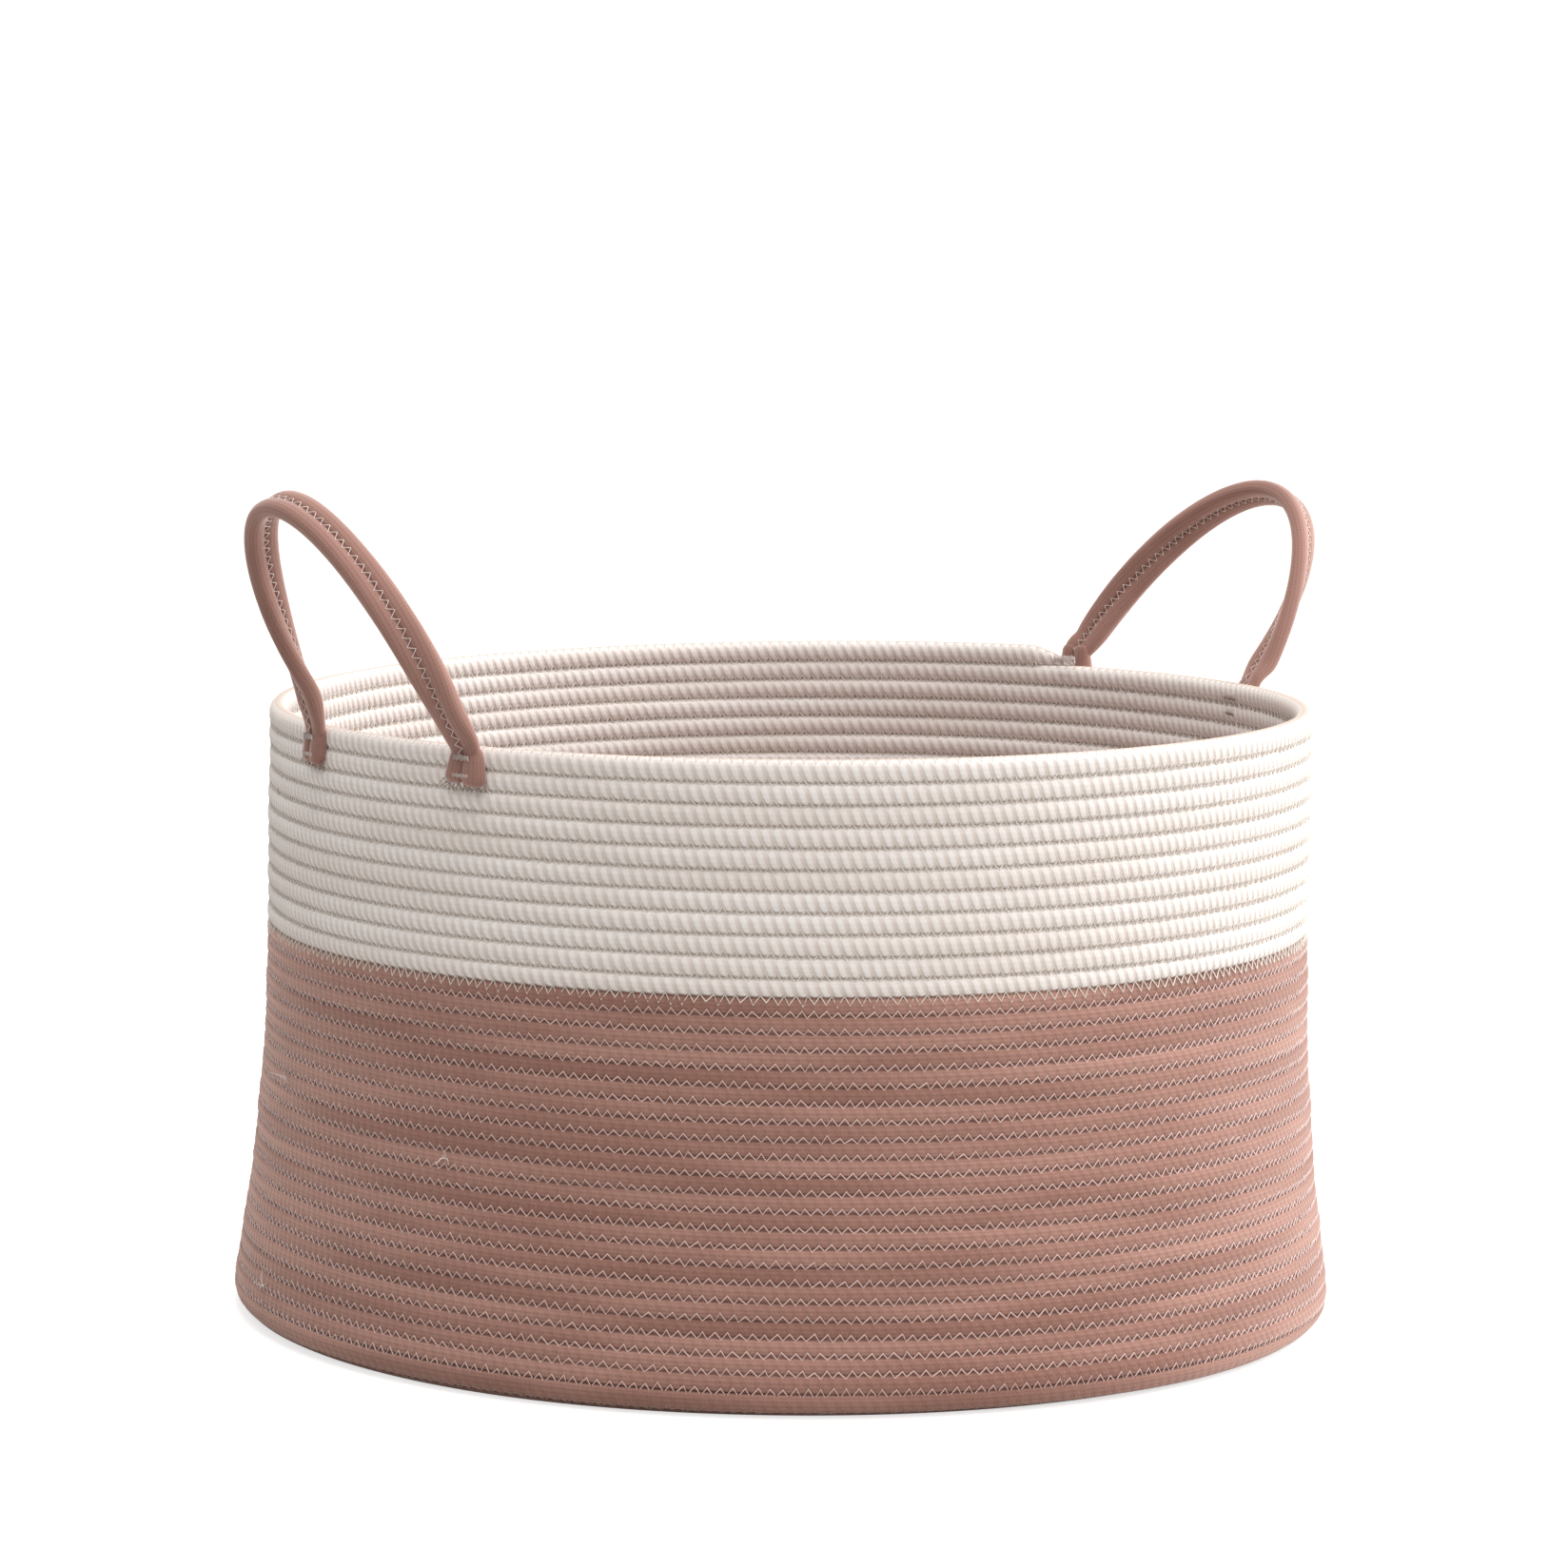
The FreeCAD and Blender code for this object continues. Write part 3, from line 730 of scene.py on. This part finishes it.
# %% One lobe of a foot
def foot_lobe(handle, end, hand, widest, length):
    below = length * np.array(
        [-0.001, 0.0, 0.0015, 0.003, 0.0055, 0.0085, 0.0115, 0.014, 0.0158, 0.0168, 0.0174])
    grow = np.clip(below / 0.013, 0, 1) ** 0.8
    wide = 0.0040 + (widest - 0.0040) * grow
    thick = 0.0021 + 0.0016 * np.clip(below / 0.006, 0, 1)
    ends = np.array([0.55, 0.85, 1, 1, 1, 1, 1, 1, 0.9, 0.68, 0.3])
    point, up, out = foot_place(handle, end, below, 0.0012 + 0.0012 * grow)
    sideways = np.cross(up, out)
    point = point + sideways * (hand * (0.0037 + (widest * 0.86 - 0.0037) * grow))[:, None]
    return tube(point, sideways, out, wide * ends, thick * ends, 16, below / KNIT_ROW, 2.3)


# %% Loose fibres
def fibre(start, direction, length, bend, radius, chance):
    """One loose fibre: a thin tube that curls."""
    share = np.linspace(0, 1, 6)[:, None]
    curl = unit(chance.standard_normal(3)) * bend
    line = start + direction * length * share + curl * length * share**2
    ahead = unit(np.gradient(line, axis=0))
    across = unit(np.cross(ahead, chance.standard_normal(3)))
    slimmed = radius * (1 - 0.6 * share[:, 0])
    return tube(line, across, np.cross(ahead, across), slimmed, slimmed, 4, share[:, 0])


def foot_fray(handle, end, widest, chance, count=46):
    fibres = []
    for _ in range(count):
        hand = chance.uniform(-1.9, 1.9) * widest
        below = 0.0155 + chance.uniform(-0.002, 0.0015)
        point, up, out = foot_place(handle, end, below, chance.uniform(0.0002, 0.0045))
        sideways = np.cross(up, out)
        direction = unit(-up[0] + sideways[0] * hand / widest * 0.45 + out[0] * chance.uniform(-0.1, 0.5))
        length = chance.uniform(0.0015, 0.0042)
        fibres.append(fibre(point[0] + sideways[0] * hand, direction, length, 0.6, 0.00022, chance))
    return fibres


# %% Bar tacks
TACKS = (  # below the rim, width and height outside, width inside the wall
    (0.0045, 0.009, 0.0022, 0.0135),
    (0.0125, 0.010, 0.0016, 0.009),
)


def bar_tack(place, wide, tall, passes, seed):
    """A short dense satin stitch. Place gives a point and its directions for a height."""
    count = np.arange(passes * 2)
    chance = np.random.default_rng(seed)
    swing = np.where(count % 2 == 0, tall / 2, -tall / 2) * (1 + 0.15 * chance.standard_normal(len(count)))
    point, up, out = place(-swing)
    sideways = np.cross(up, out)
    point = point + sideways * ((count / count[-1] - 0.5) * wide)[:, None]
    return tube(point, up, out, LEG_WIDTH * 0.6, THREAD, 6, count / 2)


def foot_tacks(handle, end):
    """Both bar tacks of a foot, each seen outside on the foot and again inside the wall."""
    tacks = []
    for number, (below, wide, tall, inner_wide) in enumerate(TACKS):
        def outside(rise):
            return foot_place(handle, end, below + rise, 0.0058)

        def inside(rise):
            point, up, out = foot_place(handle, end, below + 0.001 + rise, -ROPE - 0.0004)
            return point, up, -out

        tacks.append(bar_tack(outside, wide, tall, 11, 31 + number))
        tacks.append(bar_tack(inside, inner_wide, tall * 1.5, 17, 41 + number))
    return tacks


# %% Four feet and their tacks
FOOT_WIDTHS = {  # half the width of one lobe where it is cut off
    ("left", "front"): 0.0062,
    ("left", "back"): 0.0044,
    ("right", "front"): 0.0052,
    ("right", "back"): 0.0052,
}
chance = np.random.default_rng(5)
for name, handle in HANDLES.items():
    tacks = []
    for end, place_name in ((-1, "front"), (1, "back")):
        widest = FOOT_WIDTHS[name, place_name]
        lobes = [foot_lobe(handle, end, 1, widest, 1.0), foot_lobe(handle, end, -1, widest * 0.94, 0.93)]
        shape = joined(lobes + foot_fray(handle, end, widest, chance))
        foot = make_piece(f"{name}_{place_name}_sewn_foot", shape, shaded_strap_cotton,
                          [f"{name}_{place_name}_foot"])
        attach(foot, "basket")
        tacks += foot_tacks(handle, end)
    tack = make_piece(f"{name}_bar_tacks", joined(tacks), tack_thread, [f"{name}_foot_tacks"])
    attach(tack, "basket")

# %% [markdown]
# ## Loose thread ends
# Where a bobbin ran out, a few thread ends stick out of the wall. They are small, but they are what
# makes the wall look sewn and not printed.

# %% Tufts
TUFTS = (  # angle in degrees, height, number of ends, and how far they reach
    (162.8, 0.120, 8, 0.007),
    (-166.9, 0.103, 6, 0.006),
    (163.8, 0.022, 7, 0.006),
    (154.7, 0.255, 2, 0.003),
    (165.6, 0.195, 2, 0.003),
)
tufts = []
for angle_degrees, height, count, reach in TUFTS:
    angle = np.array([math.radians(angle_degrees)])
    point, up, out = wall_place(np.array([climb_at_height(height)]), angle)
    sideways = np.cross(up, out)[0]
    for _ in range(count):
        direction = unit(out[0] * 0.5 + up[0] * chance.uniform(-0.6, 0.5) + sideways * chance.uniform(-1, 1))
        start = point[0] + out[0] * ROPE * 0.42 + sideways * chance.uniform(-0.001, 0.001)
        tufts.append(fibre(start, direction, reach * chance.uniform(0.5, 1.1), 0.8, 0.0004, chance))
tuft = make_piece("loose_thread_ends", joined(tufts), tack_thread)
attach(tuft, "basket")

# %% [markdown]
# ## Floor, light and camera
# The stage is a shallow pale bowl, so no horizon line shows from any side. Four soft lights stand round
# the basket: a large one like a window at the right, a weak low one in front of it, a warmer one high over
# the camera, and one overhead. An even white sky fills the shadows.


# %% The stage
PAPER_GLOW = 0.68  # the grey paper glows for the camera alone, so it looks pale but throws little light back


def studio_bowl():
    radii = [(0.0, 0.0), (2.0, 0.0), (4.5, 0.0), (5.6, 0.12), (6.4, 0.5), (6.8, 1.1), (6.9, 1.8)]
    steps = 96
    points = [(0.0, 0.0, 0.0)]
    faces = []
    for radius, height in radii[1:]:
        for k in range(steps):
            turn = 2 * math.pi * k / steps
            points.append((radius * math.cos(turn), radius * math.sin(turn), height))
    for k in range(steps):
        faces.append((0, 1 + k, 1 + (k + 1) % steps))
        for ring in range(len(radii) - 2):
            here, there = 1 + ring * steps, 1 + (ring + 1) * steps
            faces.append((here + k, there + k, there + (k + 1) % steps, here + (k + 1) % steps))
    mesh = bpy.data.meshes.new("studio_bowl")
    mesh.from_pydata(points, [], faces)
    mesh.shade_smooth()
    bowl = bpy.data.objects.new("studio_bowl", mesh)
    bpy.context.scene.collection.objects.link(bowl)
    paper = bpy.data.materials.new("pale paper")
    paper.use_nodes = True
    t = Tree(paper.node_tree)
    place = t.node("ShaderNodeTexCoord").outputs["Object"]
    shader = paper.node_tree.nodes["Principled BSDF"]
    t.feed(shader.inputs["Base Color"], t.mix(t.noise(place, 60.0), colour("C6C4C1"), colour("CAC9C7")))
    shader.inputs["Roughness"].default_value = 0.9
    shader.inputs["Emission Color"].default_value = (1, 1, 1, 1)
    seen = t.node("ShaderNodeLightPath").outputs["Is Camera Ray"]
    t.feed(shader.inputs["Emission Strength"], t.math("MULTIPLY", seen, PAPER_GLOW))
    mesh.materials.append(paper)
    return bowl


studio_bowl()


# %% Lights
def soft_light(name, azimuth, elevation, distance, size, power, tint):
    """A square area light that looks at the basket's middle."""
    lamp = bpy.data.lights.new(name, "AREA")
    lamp.shape, lamp.size, lamp.energy, lamp.color = "SQUARE", size, power, tint
    holder = bpy.data.objects.new(name, lamp)
    turn, lift = math.radians(azimuth), math.radians(elevation)
    place = Vector((math.cos(turn) * math.cos(lift), math.sin(turn) * math.cos(lift), math.sin(lift)))
    place = place * distance
    holder.location = place + Vector((0, 0, RIM / 2))
    holder.rotation_euler = (-place).to_track_quat("-Z", "Y").to_euler()
    bpy.context.scene.collection.objects.link(holder)
    return holder


VIEW_RIGHT = -38.5  # degrees round the basket to the right-hand side of the view
soft_light("window", VIEW_RIGHT + 20, 28, 3.2, 2.2, 82, (1.0, 0.99, 0.99))
soft_light("front", VIEW_RIGHT - 25, 16, 3.2, 1.6, 27, (1.0, 0.99, 0.99))
soft_light("fill", VIEW_RIGHT - 80, 72, 3.0, 2.0, 34, (1.0, 0.96, 0.93))
soft_light("top", 0, 88, 2.6, 1.6, 26, (1.0, 0.96, 0.94))
world = bpy.data.worlds.new("studio")
world.use_nodes = True
world.node_tree.nodes["Background"].inputs["Color"].default_value = (1, 1, 1, 1)
world.node_tree.nodes["Background"].inputs["Strength"].default_value = 0.62
bpy.context.scene.world = world
bpy.context.scene.view_settings.view_transform = "Standard"

# %% Camera
lens = bpy.data.cameras.new("camera")
lens.lens, lens.sensor_width = 131.55, 36
lens.clip_end = 50
camera = bpy.data.objects.new("camera", lens)
bpy.context.scene.collection.objects.link(camera)
look = Matrix.Rotation(math.radians(VIEW_RIGHT), 4, "Z") @ Matrix.Rotation(math.radians(90 - 6.75), 4, "X")
camera.matrix_world = Matrix.Translation((-1.6922, -2.1245, 0.5706)) @ look @ Matrix.Rotation(0.0136, 4, "Z")
bpy.context.scene.camera = camera
